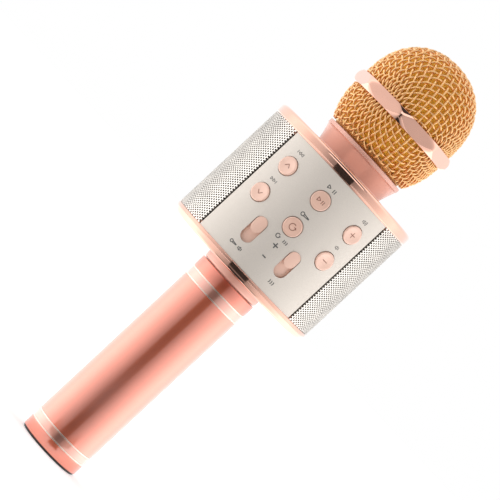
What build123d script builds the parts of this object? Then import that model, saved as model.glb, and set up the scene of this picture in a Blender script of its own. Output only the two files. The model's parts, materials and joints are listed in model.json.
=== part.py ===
"""Karaoke microphone with a speaker drum: every piece is a solid of its own, in millimetres.

The microphone stands on its end cap. +Z runs up the handle to the grille head, the origin is the
centre of the end cap's underside, and the control panel faces -Y. Angles round the drum are in
degrees from the front (-Y) towards +X.
"""
import os
from math import asin, cos, degrees, radians, sin, sqrt

from build123d import *

# ------------------------------------------------------------------ driving dimensions
# Heights of the main stack, from the end cap's underside up.
TUBE_LOW = 1.05
TUBE_HIGH = 110.2
COLLAR_LOW = 110.5
DRUM_LOW = 114.8
PANEL_LOW = 119.1
PANEL_HIGH = 177.6
DRUM_HIGH = 182.6
NECK_HIGH = 193.2
RING_LOW = 212.1
RING_HIGH = 218.6
TOTAL_HEIGHT = 250.0

# Handle.
HANDLE_RADIUS = 16.1
HANDLE_BORE = 13.5
GROOVE_HEIGHTS = (6.6, 10.8, 99.5, 103.8)
GROOVE_WIDTH = 0.8
GROOVE_DEPTH = 0.25
COLLAR_RADIUS = 15.9
END_CAP_RADIUS = 15.7
END_CAP_HEIGHT = 0.9
THREAD_PLAY = 0.15
CELL_RADIUS = 9.2
CELL_LENGTH = 65.0
CELL_LOW = 12.0
CONTACT_LOW = 7.0
CONTACT_HEIGHT = 0.5

# Drum.
DRUM_RADIUS = 41.2
DRUM_EDGE = 1.8
PANEL_RADIUS = 40.6
PANEL_WALL = 1.8
PANEL_HALF_ANGLE = 43.9
PANEL_GAP = 0.9
GRILLE_RADIUS = 40.8
GRILLE_WALL = 0.8
SEAM = 0.15
LIP_HEIGHT = 2.0
BOSS_RADIUS = 3.2
BOSS_PLACES = [(x, y) for x in (-20.0, 20.0) for y in (-14.0, 14.0)]
NECK_BORE = 12.0
CHASSIS_LOW = 121.3
CHASSIS_HIGH = 175.4
CHASSIS_WALL = 2.0
BAFFLE_FACE = 29.0
SCREW_RADIUS = 1.25
SCREW_HEAD_RADIUS = 2.3

# Push buttons: three columns of two.
BUTTON_COLUMNS = (-30.3, 0.0, 30.3)
BUTTON_ROWS = (164.3, 147.8)
BUTTON_NAMES = (("previous", "next"), ("play", "replay"), ("volume_up", "volume_down"))
BUTTON_RADIUS = 4.4
BUTTON_HOLE_RADIUS = 4.7
BUTTON_FLANGE_RADIUS = 5.2
BUTTON_FACE = 41.2
SWITCH_SIZE = 6.0
SWITCH_HEIGHT = 3.5
PLUNGER_RADIUS = 1.75
BOARD_FACE = 31.0
BOARD_WALL = 1.6

# Volume and echo sliders.
SLIDER_X = 10.5
SLOT_WIDTH = 6.3
SLOT_LENGTH = 14.0
SLOT_HEIGHT = 134.9
KNOB_WIDTH = 5.7
KNOB_LENGTH = 8.0
KNOB_FACE = 41.1
KNOB_HEIGHT = SLOT_HEIGHT + (SLOT_LENGTH - KNOB_LENGTH) / 2 - 0.05
SLIDER_TRAVEL = SLOT_LENGTH - KNOB_LENGTH - 0.1

# Loudspeakers.
SPEAKER_HEIGHT = (PANEL_LOW + PANEL_HIGH) / 2
SPEAKER_RADIUS = 22.5
CONE_RADIUS = 15.5
COIL_RADIUS = 6.0

# Sockets and switch in the rear panel, from the top down.
REAR_BOARD_FACE = 25.6
SOCKET_FACE = 39.8
USB_HEIGHT = 166.0
CARD_HEIGHT = 156.5
CHARGE_HEIGHT = 148.5
JACK_HEIGHT = 139.5
JACK_RADIUS = 1.8
JACK_DEPTH = 14.0
LED_HEIGHT = 132.5
POWER_HEIGHT = 125.5
POWER_TRAVEL = 3.0

# Neck.
NECK_WAIST_RADIUS = 19.4
NECK_RIM_RADIUS = 22.0
NECK_RIM_HEIGHT = 2.2

# Grille head.
HEAD_RADIUS = 26.9
MESH_WALL = 1.8
BELLY_RADIUS = 33.0
BELLY_HEIGHT = 211.0
DOME_LOW = 221.0
DOME_POWER = 2.2
HEAD_LOW = 193.5
RING_RADIUS = 29.4
RING_EDGE_RADIUS = 28.0
RING_BAND = 2.2
RING_BORE = 25.3
RING_TURN = -6.5
FOAM_INSET = 2.3
FOAM_WALL = 4.0
FOAM_LOW = 196.5
THREAD_RADIUS = 18.6
THREAD_LENGTH = 5.2
THREAD_RING_WALL = 0.7
THREAD_RING_SHOULDER = 196.1


# ------------------------------------------------------------------ helpers
def disc(radius, low, high):
    """A solid cylinder about the Z axis between two heights."""
    base = (Align.CENTER, Align.CENTER, Align.MIN)
    return Pos(0, 0, low) * Cylinder(radius, high - low, align=base)


def tube(outer, inner, low, high):
    """A round wall about the Z axis."""
    return disc(outer, low, high) - disc(inner, low, high)


def block(x_span, y_span, z_span):
    """A box between two values on each axis."""
    size = [span[1] - span[0] for span in (x_span, y_span, z_span)]
    corner = Pos(x_span[0], y_span[0], z_span[0])
    return corner * Box(*size, align=(Align.MIN, Align.MIN, Align.MIN))


def pill(width, length, low, high):
    """A prism with round ends, long along Y."""
    return Pos(0, 0, low) * extrude(SlotOverall(length, width, rotation=90), high - low)


def turned(*corners):
    """A solid of revolution about the Z axis, from its (radius, height) corners."""
    return revolve(make_face(Plane.XZ * Polyline(*corners, close=True)), axis=Axis.Z)


def polar(radius, angle):
    """The point at a radius and an angle round the drum."""
    return (radius * sin(radians(angle)), -radius * cos(radians(angle)))


def curved_wall(inner, outer, low, high, centre, half):
    """Part of a round wall, spanning half an angle each side of its centre."""
    start = centre - half
    end = centre + half
    outline = [
        ThreePointArc(polar(outer, start), polar(outer, centre), polar(outer, end)),
        Line(polar(outer, end), polar(inner, end)),
        ThreePointArc(polar(inner, end), polar(inner, centre), polar(inner, start)),
        Line(polar(inner, start), polar(outer, start)),
    ]
    return Pos(0, 0, low) * extrude(make_face(outline), high - low, dir=(0, 0, 1))


def facing(angle, height=0.0):
    """The place on the drum's axis whose local Z points outwards, X round the drum and Y up."""
    tangent = (cos(radians(angle)), sin(radians(angle)), 0)
    outwards = (sin(radians(angle)), -cos(radians(angle)), 0)
    return Plane(origin=(0, 0, height), x_dir=tangent, z_dir=outwards).location


FRONT = facing(0)
REAR = facing(180)


# ------------------------------------------------------------------ handle
def make_handle_tube():
    """The aluminium tube, with a pair of bright-cut grooves near each end."""
    body = tube(HANDLE_RADIUS, HANDLE_BORE, TUBE_LOW, TUBE_HIGH)
    body = chamfer(body.edges().filter_by(GeomType.CIRCLE).sort_by(SortBy.RADIUS)[-2:], 0.3)
    for height in GROOVE_HEIGHTS:
        low = height - GROOVE_WIDTH / 2
        body -= tube(HANDLE_RADIUS + 1, HANDLE_RADIUS - GROOVE_DEPTH, low, low + GROOVE_WIDTH)
    return body


def make_handle_collar():
    """The plated collar: a spigot down into the tube and a threaded neck up into the drum."""
    band = disc(COLLAR_RADIUS, COLLAR_LOW, DRUM_LOW)
    band = fillet(band.edges().filter_by(GeomType.CIRCLE), 0.5)
    spigot = disc(HANDLE_BORE - 0.05, TUBE_HIGH - 14, COLLAR_LOW)
    neck = disc(NECK_BORE, DRUM_LOW, CHASSIS_LOW + CHASSIS_WALL + 4)
    return band + spigot + neck - disc(9.0, TUBE_HIGH - 15, CHASSIS_LOW + 10)


def make_end_cap():
    """The screwed end cap: a black foot with a coin slot, and a plug that enters the tube."""
    foot = disc(END_CAP_RADIUS, 0, END_CAP_HEIGHT)
    foot = fillet(foot.edges().group_by(Axis.Z)[0], 0.8)
    plug = disc(HANDLE_BORE - THREAD_PLAY, END_CAP_HEIGHT, CONTACT_LOW)
    coin_slot = block((-6.5, 6.5), (-0.9, 0.9), (-1, 1.0))
    return foot + plug - coin_slot


def make_battery_spring():
    """A conical contact spring between the contact plate and the cell."""
    wire = 0.4
    low = CONTACT_LOW + CONTACT_HEIGHT + wire
    height = CELL_LOW - low - wire
    path = Pos(0, 0, low) * Helix(pitch=height / 3, height=height, radius=6.0, cone_angle=-30)
    section = Plane(origin=path @ 0, z_dir=path % 0) * Circle(wire)
    return sweep(section, path=path)


def make_handle():
    """Everything from the end cap up to the drum."""
    cell_high = CELL_LOW + CELL_LENGTH
    cell = fillet(disc(CELL_RADIUS, CELL_LOW, cell_high).edges(), 0.6)
    cell += disc(3.0, cell_high, cell_high + 1)
    sleeve = disc(HANDLE_BORE - 0.05, CONTACT_LOW + 1, cell_high + 5)
    sleeve -= disc(CELL_RADIUS + 0.15, CONTACT_LOW, cell_high + 3)
    sleeve -= disc(2.5, cell_high, cell_high + 6)
    top_contact = disc(6.0, cell_high + 1, cell_high + 1.5)
    return {
        "end_cap": make_end_cap(),
        "battery_contact_plate": disc(8.0, CONTACT_LOW, CONTACT_LOW + CONTACT_HEIGHT),
        "battery_spring": make_battery_spring(),
        "battery_cell": cell,
        "battery_sleeve": sleeve,
        "battery_top_contact": top_contact,
        "handle_tube": make_handle_tube(),
        "handle_collar": make_handle_collar(),
    }


# ------------------------------------------------------------------ drum shell
def make_drum_cap(outer_face, inner_face, chassis_face):
    """An end cap of the drum: a rounded plate with lips behind the panels and screw bosses."""
    up = 1 if inner_face > outer_face else -1

    def between(radius, start, end):
        return disc(radius, min(start, end), max(start, end))

    plate = between(DRUM_RADIUS, outer_face, inner_face)
    rims = plate.edges().filter_by(GeomType.CIRCLE).sort_by(Axis.Z)
    outer_rim, inner_rim = (rims[0], rims[-1]) if up > 0 else (rims[-1], rims[0])
    plate = fillet(outer_rim, DRUM_EDGE)
    inner_rim = plate.edges().filter_by(GeomType.CIRCLE).sort_by(Axis.Z)[-1 if up > 0 else 0]
    plate = fillet(inner_rim, 0.4)
    floor = outer_face + up * 2.2
    plate -= between(37.6, floor, inner_face + up)
    lip_end = inner_face + up * LIP_HEIGHT
    lip = between(PANEL_RADIUS - PANEL_WALL - 0.1, inner_face, lip_end)
    body = plate + (lip - between(37.6, inner_face - up, lip_end + up))
    low, high = sorted((inner_face, inner_face + up * 1.5))
    for side in (-90, 90):
        body += curved_wall(38, GRILLE_RADIUS - GRILLE_WALL - 0.05, low, high, side, 44)
    for x, y in BOSS_PLACES:
        boss = between(BOSS_RADIUS, floor - up * 0.2, chassis_face)
        body += Pos(x, y) * boss
        body -= Pos(x, y) * between(SCREW_RADIUS, floor, chassis_face + up)
    return body - between(NECK_BORE, outer_face - up, inner_face + up)


def make_panel(centre):
    """A curved control panel between the two speaker grilles."""
    low = PANEL_LOW + SEAM
    high = PANEL_HIGH - SEAM
    inner = PANEL_RADIUS - PANEL_WALL
    return curved_wall(inner, PANEL_RADIUS, low, high, centre, PANEL_HALF_ANGLE)


def make_front_panel():
    """The front panel, with six button holes, two slider slots and the posts for its boards."""
    panel = make_panel(0)
    board_top = PANEL_RADIUS - PANEL_WALL / 2
    for angle in BUTTON_COLUMNS:
        panel += facing(angle, sum(BUTTON_ROWS) / 2) * disc(1.6, BOARD_FACE, board_top)
        for height in BUTTON_ROWS:
            panel -= facing(angle, height) * disc(BUTTON_HOLE_RADIUS, 30, 45)
    for height in (126.0, 138.0):
        panel += facing(0, height) * disc(1.6, BOARD_FACE, board_top)
    for x in (-SLIDER_X, SLIDER_X):
        panel -= FRONT * Pos(x, SLOT_HEIGHT) * pill(SLOT_WIDTH, SLOT_LENGTH, 30, 45)
    return panel


def make_rear_panel():
    """The rear panel, with openings for the sockets, lamp and power switch, and board posts."""
    panel = make_panel(180)
    for x in (-13.0, 13.0):
        for height in (125.0, 171.0):
            panel += REAR * Pos(x, height) * disc(1.8, REAR_BOARD_FACE, 37.5)
    openings = [
        block((-6.9, 6.9), (USB_HEIGHT - 3.2, USB_HEIGHT + 3.2), (30, 45)),
        block((-6.2, 6.2), (CARD_HEIGHT - 1.0, CARD_HEIGHT + 1.0), (30, 45)),
        block((-4.2, 4.2), (CHARGE_HEIGHT - 1.75, CHARGE_HEIGHT + 1.75), (30, 45)),
        Pos(0, JACK_HEIGHT) * disc(3.2, 30, 45),
        Pos(0, LED_HEIGHT) * disc(1.3, 30, 45),
        Pos(0, POWER_HEIGHT) * Rot(0, 0, 90) * pill(3.6, 4.0 + POWER_TRAVEL + 1, 30, 45),
    ]
    for opening in openings:
        panel -= REAR * opening
    return panel


def make_speaker_grille(side):
    """A side grille, as a plain curved sheet of the perforated steel's thickness."""
    half = 90 - PANEL_HALF_ANGLE - degrees(PANEL_GAP / GRILLE_RADIUS)
    inner = GRILLE_RADIUS - GRILLE_WALL
    return curved_wall(inner, GRILLE_RADIUS, PANEL_LOW + SEAM, PANEL_HIGH - SEAM, side, half)


def make_chassis():
    """The inner frame: two speaker baffles joined by a plate under each drum cap."""
    body = None
    for side in (-90, 90):
        baffle = block((-24.5, 24.5), (CHASSIS_LOW, CHASSIS_HIGH), (BAFFLE_FACE - 2, BAFFLE_FACE))
        baffle -= Pos(0, SPEAKER_HEIGHT) * disc(20.4, 20, 35)
        for x, y in speaker_screw_places():
            baffle -= Pos(x, SPEAKER_HEIGHT + y) * disc(0.8, 20, 35)
        placed = facing(side) * baffle
        body = placed if body is None else body + placed
    for low in (CHASSIS_LOW, CHASSIS_HIGH - CHASSIS_WALL):
        plate = block((-28, 28), (-20, 20), (low, low + CHASSIS_WALL))
        plate -= disc(NECK_BORE, low - 1, low + 3)
        for x, y in BOSS_PLACES:
            plate -= Pos(x, y) * disc(SCREW_RADIUS, low - 1, low + 3)
        body += plate
    return body


def make_screw(radius, head_radius, length):
    """A pan-head screw with a cross recess, its head on +Z and its shank down to -length."""
    head = disc(head_radius, 0, head_radius * 0.7)
    head = fillet(head.edges().group_by(Axis.Z)[-1], head_radius * 0.25)
    recess = head_radius * 0.6
    arm = head_radius * 0.12
    cross = block((-recess, recess), (-arm, arm), (head_radius * 0.3, head_radius))
    cross += block((-arm, arm), (-recess, recess), (head_radius * 0.3, head_radius))
    return head + disc(radius, -length, 0) - cross


def make_chassis_screws():
    """Eight screws from inside the chassis, four into each drum cap's bosses."""
    screw = make_screw(SCREW_RADIUS, SCREW_HEAD_RADIUS, 5.0)
    down = [Pos(x, y, CHASSIS_LOW + CHASSIS_WALL) * screw for x, y in BOSS_PLACES]
    up = [
        Pos(x, y, CHASSIS_HIGH - CHASSIS_WALL) * Rot(180, 0, 0) * screw for x, y in BOSS_PLACES
    ]
    return Compound(children=down + up)


def make_lock_nuts():
    """Two hexagon nuts: one on the handle collar's neck, one on the head's neck."""
    nut = extrude(RegularPolygon(16.0, 6), 4.0) - disc(NECK_BORE, -1, 5)
    lows = (CHASSIS_LOW + CHASSIS_WALL, CHASSIS_HIGH - CHASSIS_WALL - 4)
    return Compound(children=[Pos(0, 0, low) * nut for low in lows])


def make_drum():
    """The drum's shell, its inner frame and what holds them together."""
    return {
        "bottom_end_cap": make_drum_cap(DRUM_LOW, PANEL_LOW, CHASSIS_LOW),
        "top_end_cap": make_drum_cap(DRUM_HIGH, PANEL_HIGH, CHASSIS_HIGH),
        "front_panel": make_front_panel(),
        "rear_panel": make_rear_panel(),
        "speaker_grille_left": make_speaker_grille(-90),
        "speaker_grille_right": make_speaker_grille(90),
        "chassis": make_chassis(),
        "chassis_screws": make_chassis_screws(),
        "lock_nuts": make_lock_nuts(),
    }


# ------------------------------------------------------------------ push buttons
def make_button_cap():
    """A plated cap with a dished face, a retaining flange and a stem."""
    face = disc(BUTTON_RADIUS, 38.0, BUTTON_FACE)
    face = fillet(face.edges().group_by(Axis.Z)[-1], 0.45)
    dish_radius = 24.0
    face -= Pos(0, 0, BUTTON_FACE + dish_radius - 0.25) * Sphere(dish_radius)
    flange = disc(BUTTON_FLANGE_RADIUS, 37.4, 38.2)
    return face + flange + disc(1.5, 35.3, 37.4)


def make_buttons():
    """Six caps, each on the plunger of its own switch, and the boards that carry the switches."""
    cap = make_button_cap()
    plunger = disc(PLUNGER_RADIUS, 33.4, 35.3)
    half = SWITCH_SIZE / 2
    switch = block((-half, half), (-half, half), (BOARD_FACE, BOARD_FACE + SWITCH_HEIGHT))
    switch -= disc(PLUNGER_RADIUS + 0.15, 32.7, 40)
    pieces = {}
    switches = []
    for angle, names in zip(BUTTON_COLUMNS, BUTTON_NAMES):
        for height, name in zip(BUTTON_ROWS, names):
            place = facing(angle, height)
            pieces[f"button_{name}"] = place * cap
            pieces[f"plunger_{name}"] = place * plunger
            switches.append(place * switch)
    pieces["key_switches"] = Compound(children=switches)
    side_board = block((-6.5, 6.5), (142.0, 172.5), (BOARD_FACE - BOARD_WALL, BOARD_FACE))
    sides = [facing(angle) * side_board for angle in BUTTON_COLUMNS if angle]
    pieces["key_boards"] = Compound(children=sides)
    front = block((-8, 8), (142.0, 172.5), (BOARD_FACE - BOARD_WALL, BOARD_FACE))
    front += block((-16, 16), (123.0, 142.0), (BOARD_FACE - BOARD_WALL, BOARD_FACE))
    pieces["front_board"] = FRONT * front
    return pieces


# ------------------------------------------------------------------ sliders
def make_slider_knob(x):
    """A knob whose shoe slides behind the panel, closing the slot, with a lever into its control."""
    knob = FRONT * Pos(x, KNOB_HEIGHT) * pill(KNOB_WIDTH, KNOB_LENGTH, 30, 45)
    knob &= tube(KNOB_FACE, 38.0, 100, 180)
    centre = degrees(asin(x / PANEL_RADIUS))
    half = degrees((SLOT_WIDTH / 2 + 1.2) / 38.0)
    reach = (SLOT_LENGTH + SLIDER_TRAVEL) / 2 + 0.6
    shoe = curved_wall(37.8, 38.5, KNOB_HEIGHT - reach, KNOB_HEIGHT + reach, centre, half)
    lever_size = (KNOB_HEIGHT - 1.5, KNOB_HEIGHT + 1.5)
    lever = FRONT * block((x - 0.8, x + 0.8), lever_size, (33.6, 37.2))
    return knob + shoe + lever


def make_slide_controls():
    """The two slide controls on the front board, each with a channel for its knob's lever."""
    controls = []
    middle = KNOB_HEIGHT - SLIDER_TRAVEL / 2
    channel = SLIDER_TRAVEL / 2 + 2.0
    for x in (-SLIDER_X, SLIDER_X):
        body = block((x - 3.5, x + 3.5), (middle - 9, middle + 6.3), (BOARD_FACE, 34.8))
        slot = block((x - 1.1, x + 1.1), (middle - channel, middle + channel), (33.2, 40))
        controls.append(FRONT * (body - slot))
    return Compound(children=controls)


def make_sliders():
    """Both slider knobs and their controls."""
    return {
        "slider_knob_volume": make_slider_knob(-SLIDER_X),
        "slider_knob_echo": make_slider_knob(SLIDER_X),
        "slide_controls": make_slide_controls(),
    }


# ------------------------------------------------------------------ loudspeakers
def speaker_screw_places():
    """The four screw places on a speaker's flange, from its centre."""
    reach = 21.0 / sqrt(2)
    return [(x, y) for x in (-reach, reach) for y in (-reach, reach)]


def make_speaker_frame():
    """The stamped basket of a loudspeaker, its axis along Z and its flange outermost."""
    basket = turned(
        (SPEAKER_RADIUS, 30.2), (SPEAKER_RADIUS, 29.0), (20.3, 29.0), (13.0, 19.5), (13.0, 18.5),
        (7.0, 18.5), (7.0, 19.5), (12.0, 19.5), (19.2, 29.2), (19.2, 30.2),
    )
    window = block((-3.5, 3.5), (8, 30), (21.5, 26.5))
    for turn in range(0, 360, 60):
        basket -= Rot(0, 0, turn) * window
    for x, y in speaker_screw_places():
        basket -= Pos(x, y) * disc(0.8, 28, 31)
    return basket


def make_speaker_magnet():
    """The magnet between its plates, with the pole that the voice coil runs on."""
    return turned(
        (0, 9.5), (13.5, 9.5), (13.5, 11.0), (15.0, 11.0), (15.0, 17.0), (13.0, 17.0),
        (13.0, 18.5), (6.8, 18.5), (6.8, 11.5), (5.2, 11.5), (5.2, 20.0), (0, 20.0),
    )


def make_speaker_cone():
    """The moving cone, with its dust cap and voice coil."""
    return turned(
        (CONE_RADIUS, 29.6), (CONE_RADIUS, 29.0), (COIL_RADIUS, 22.6), (COIL_RADIUS, 17.0),
        (COIL_RADIUS - 0.4, 17.0), (COIL_RADIUS - 0.4, 23.4), (0, 25.2), (0, 25.9),
        (COIL_RADIUS, 23.9), (CONE_RADIUS - 0.6, 29.6),
    )


def make_speaker_surround():
    """The half-round rubber roll between the cone's rim and the frame."""
    middle = (CONE_RADIUS + 0.3 + 19.1) / 2
    roll = (19.1 - CONE_RADIUS - 0.3) / 2
    wall = 0.4
    outline = [
        ThreePointArc((middle - roll, 29.3), (middle, 29.3 + roll), (middle + roll, 29.3)),
        Line((middle + roll, 29.3), (middle + roll - wall, 29.3)),
        ThreePointArc(
            (middle + roll - wall, 29.3), (middle, 29.3 + roll - wall), (middle - roll + wall, 29.3)
        ),
        Line((middle - roll + wall, 29.3), (middle - roll, 29.3)),
    ]
    return revolve(make_face([Plane.XZ * edge for edge in outline]), axis=Axis.Z)


def make_speakers():
    """Two loudspeakers back to back, each firing through its side grille."""
    pieces = {}
    magnets = []
    surrounds = []
    screws = []
    screw = make_screw(0.8, 1.6, 2.6)
    for name, side in (("left", -90), ("right", 90)):
        place = facing(side, SPEAKER_HEIGHT)
        pieces[f"speaker_frame_{name}"] = place * make_speaker_frame()
        pieces[f"speaker_cone_{name}"] = place * make_speaker_cone()
        magnets.append(place * make_speaker_magnet())
        surrounds.append(place * make_speaker_surround())
        for x, y in speaker_screw_places():
            screws.append(place * Pos(x, y, 30.2) * screw)
    pieces["speaker_magnets"] = Compound(children=magnets)
    pieces["speaker_surrounds"] = Compound(children=surrounds)
    pieces["speaker_screws"] = Compound(children=screws)
    return pieces


# ------------------------------------------------------------------ rear board and sockets
def make_usb_socket():
    """A host socket: a steel shell round a contact tongue."""
    shell = block((-6.6, 6.6), (-2.9, 2.9), (REAR_BOARD_FACE, SOCKET_FACE))
    shell -= block((-6.2, 6.2), (-2.5, 2.5), (REAR_BOARD_FACE + 3, SOCKET_FACE + 1))
    tongue = block((-5.6, 5.6), (0.2, 2.0), (REAR_BOARD_FACE + 2, SOCKET_FACE - 1))
    return shell + tongue


def make_charge_socket():
    """A charging socket: a small rounded shell round a thin tongue."""
    shell = block((-3.9, 3.9), (-1.5, 1.5), (REAR_BOARD_FACE, SOCKET_FACE + 0.3))
    shell -= block((-3.5, 3.5), (-1.1, 1.1), (SOCKET_FACE - 5.2, SOCKET_FACE + 1))
    tongue = block((-2.0, 2.0), (0.1, 0.6), (SOCKET_FACE - 5.4, SOCKET_FACE - 0.6))
    return shell + tongue


def make_card_socket():
    """A memory-card reader with one thin mouth."""
    body = block((-7.0, 7.0), (-1.4, 1.4), (REAR_BOARD_FACE, 38.0))
    body -= block((-5.7, 5.7), (-0.6, 0.6), (REAR_BOARD_FACE + 2, 39.0))
    return body


def make_aux_jack():
    """A 3.5 mm jack socket, its nose flush in the rear panel."""
    body = block((-3.5, 3.5), (-3.2, 3.2), (REAR_BOARD_FACE, 37.5))
    nose = disc(3.0, 37.0, PANEL_RADIUS)
    return body + nose - disc(JACK_RADIUS, PANEL_RADIUS - JACK_DEPTH, PANEL_RADIUS + 1)


def make_power_switch():
    """The power slide switch's body, with a channel for the knob's lever."""
    body = block((-5.0, 5.0), (-2.2, 2.2), (REAR_BOARD_FACE, 32.0))
    return body - block((-POWER_TRAVEL, POWER_TRAVEL), (-0.9, 0.9), (30.0, 33.0))


def make_power_knob():
    """The power switch's ribbed knob, at the off end of its travel."""
    face = Rot(0, 0, 90) * pill(3.0, 4.0, 37.2, 41.0)
    ribs = [block((x - 0.15, x + 0.15), (-2, 2), (40.75, 42)) for x in (-0.9, 0.0, 0.9)]
    for rib in ribs:
        face -= rib
    lever = block((-0.7, 0.7), (-0.7, 0.7), (30.4, 37.2))
    shoe = block((-5.2, 5.2), (-2.6, 2.6), (37.0, 37.7))
    return Pos(-POWER_TRAVEL / 2, POWER_HEIGHT) * (face + lever + shoe)


def make_rear_electronics():
    """The main board with its components, sockets, lamp and power switch."""
    board = block((-17, 17), (123.0, 173.0), (REAR_BOARD_FACE - BOARD_WALL, REAR_BOARD_FACE))
    inner_face = REAR_BOARD_FACE - BOARD_WALL
    chips = [
        block((-6, 6), (151, 163), (inner_face - 1.6, inner_face)),
        block((5, 12), (140, 147), (inner_face - 1.2, inner_face)),
        block((-13, -7), (132, 137), (inner_face - 1.2, inner_face)),
    ]
    cans = [Pos(x, 168) * disc(2.5, inner_face - 4.5, inner_face) for x in (-12, 12)]
    lamp = disc(1.2, REAR_BOARD_FACE, 40.4)
    lamp = fillet(lamp.edges().group_by(Axis.Z)[-1], 0.8)
    return {
        "main_board": REAR * board,
        "board_components": Compound(children=[REAR * piece for piece in chips + cans]),
        "usb_socket": REAR * Pos(0, USB_HEIGHT) * make_usb_socket(),
        "card_socket": REAR * Pos(0, CARD_HEIGHT) * make_card_socket(),
        "charge_socket": REAR * Pos(0, CHARGE_HEIGHT) * make_charge_socket(),
        "aux_jack": REAR * Pos(0, JACK_HEIGHT) * make_aux_jack(),
        "status_lamp": REAR * Pos(0, LED_HEIGHT) * lamp,
        "power_switch": REAR * Pos(0, POWER_HEIGHT) * make_power_switch(),
        "power_knob": REAR * make_power_knob(),
    }


# ------------------------------------------------------------------ neck and capsule
def make_neck_collar():
    """The plated neck: a concave funnel with a rim, a threaded top and a stem into the drum."""
    foot = DRUM_HIGH
    rim_low = NECK_HIGH - NECK_RIM_HEIGHT
    waist = (NECK_WAIST_RADIUS, foot + 0.8)
    swell = (NECK_WAIST_RADIUS + 0.9, foot + 4.4)
    flare = (NECK_RIM_RADIUS - 0.4, rim_low)
    outline = [
        Line((0, foot), (NECK_WAIST_RADIUS + 0.4, foot)),
        Line((NECK_WAIST_RADIUS + 0.4, foot), waist),
        ThreePointArc(waist, swell, flare),
        Line(flare, (NECK_RIM_RADIUS, rim_low + 0.4)),
        Line((NECK_RIM_RADIUS, rim_low + 0.4), (NECK_RIM_RADIUS, NECK_HIGH - 0.3)),
        Line((NECK_RIM_RADIUS, NECK_HIGH - 0.3), (NECK_RIM_RADIUS - 0.3, NECK_HIGH)),
        Line((NECK_RIM_RADIUS - 0.3, NECK_HIGH), (0, NECK_HIGH)),
        Line((0, NECK_HIGH), (0, foot)),
    ]
    funnel = revolve(make_face([Plane.XZ * edge for edge in outline]), axis=Axis.Z)
    thread = disc(THREAD_RADIUS, NECK_HIGH, NECK_HIGH + THREAD_LENGTH)
    stem = disc(NECK_BORE, CHASSIS_HIGH - CHASSIS_WALL - 4, foot)
    body = funnel + thread + stem
    body -= disc(16.8, foot + 2.4, NECK_HIGH + THREAD_LENGTH + 1)
    return body - disc(6.5, CHASSIS_HIGH - 10, foot + 5)


def make_neck():
    """The neck collar and the shock-mounted capsule inside the head."""
    floor = DRUM_HIGH + 2.4
    cradle = disc(16.7, floor, floor + 2) + disc(9.5, floor + 2, 205)
    cradle += disc(11.0, 203, 205)
    cradle -= disc(6.0, floor - 1, 206)
    capsule = disc(7.0, 206.5, 217.0)
    capsule = fillet(capsule.edges().group_by(Axis.Z)[-1], 0.6)
    boot = disc(9.3, 205, 215.5) - disc(7.0, 206.5, 216) - disc(4.5, 204, 207)
    return {
        "neck_collar": make_neck_collar(),
        "capsule_cradle": cradle,
        "capsule_boot": boot,
        "mic_capsule": capsule,
    }


# ------------------------------------------------------------------ grille head
def belly(inset, height):
    """The point on the lower basket's curve at a height, moved inwards by an inset."""
    centre = HEAD_RADIUS - BELLY_RADIUS
    rise = BELLY_HEIGHT - height
    return (centre + sqrt((BELLY_RADIUS - inset) ** 2 - rise ** 2), height)


def belly_arc(inset, start, end):
    """The lower basket's curve between two heights."""
    middle = (start + end) / 2
    return ThreePointArc(belly(inset, start), belly(inset, middle), belly(inset, end))


def make_basket_shell():
    """The lower basket as a closed shell of the woven mesh's thickness."""
    outline = [
        belly_arc(0, HEAD_LOW, BELLY_HEIGHT),
        Line(belly(0, BELLY_HEIGHT), (HEAD_RADIUS, RING_LOW)),
        Line((HEAD_RADIUS, RING_LOW), (HEAD_RADIUS - MESH_WALL, RING_LOW)),
        Line((HEAD_RADIUS - MESH_WALL, RING_LOW), belly(MESH_WALL, BELLY_HEIGHT)),
        belly_arc(MESH_WALL, BELLY_HEIGHT, HEAD_LOW),
        Line(belly(MESH_WALL, HEAD_LOW), belly(0, HEAD_LOW)),
    ]
    return revolve(make_face([Plane.XZ * edge for edge in outline]), axis=Axis.Z)


def make_dome(inset, low):
    """A solid dome, a little fuller than a half ellipse, over a short straight wall."""
    radius = HEAD_RADIUS - inset
    rise = TOTAL_HEIGHT - DOME_LOW - inset
    points = []
    for turn in range(0, 91, 9):
        across = radius * cos(radians(turn)) ** (2 / DOME_POWER)
        points.append((across, DOME_LOW + rise * sin(radians(turn)) ** (2 / DOME_POWER)))
    points[-1] = (0, TOTAL_HEIGHT - inset)
    outline = [
        Spline(*points, tangents=[(0, 1), (-1, 0)]),
        Line(points[-1], (0, low)),
        Line((0, low), (radius, low)),
        Line((radius, low), points[0]),
    ]
    return revolve(make_face([Plane.XZ * edge for edge in outline]), axis=Axis.Z)


def make_grille_ring():
    """The eight-sided ring, bevelled above and below a middle band, so that each flat tapers."""
    middle = (RING_LOW + RING_HIGH) / 2
    prism = extrude(RegularPolygon(RING_RADIUS, 8), RING_HIGH - RING_LOW)
    prism = Pos(0, 0, RING_LOW) * Rot(0, 0, RING_TURN) * prism
    half_band = RING_BAND / 2
    bevels = turned(
        (0, RING_LOW), (RING_EDGE_RADIUS, RING_LOW), (RING_RADIUS, middle - half_band),
        (RING_RADIUS, middle + half_band), (RING_EDGE_RADIUS, RING_HIGH), (0, RING_HIGH),
    )
    return (prism & bevels) - disc(RING_BORE, RING_LOW - 1, RING_HIGH + 1)


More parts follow.
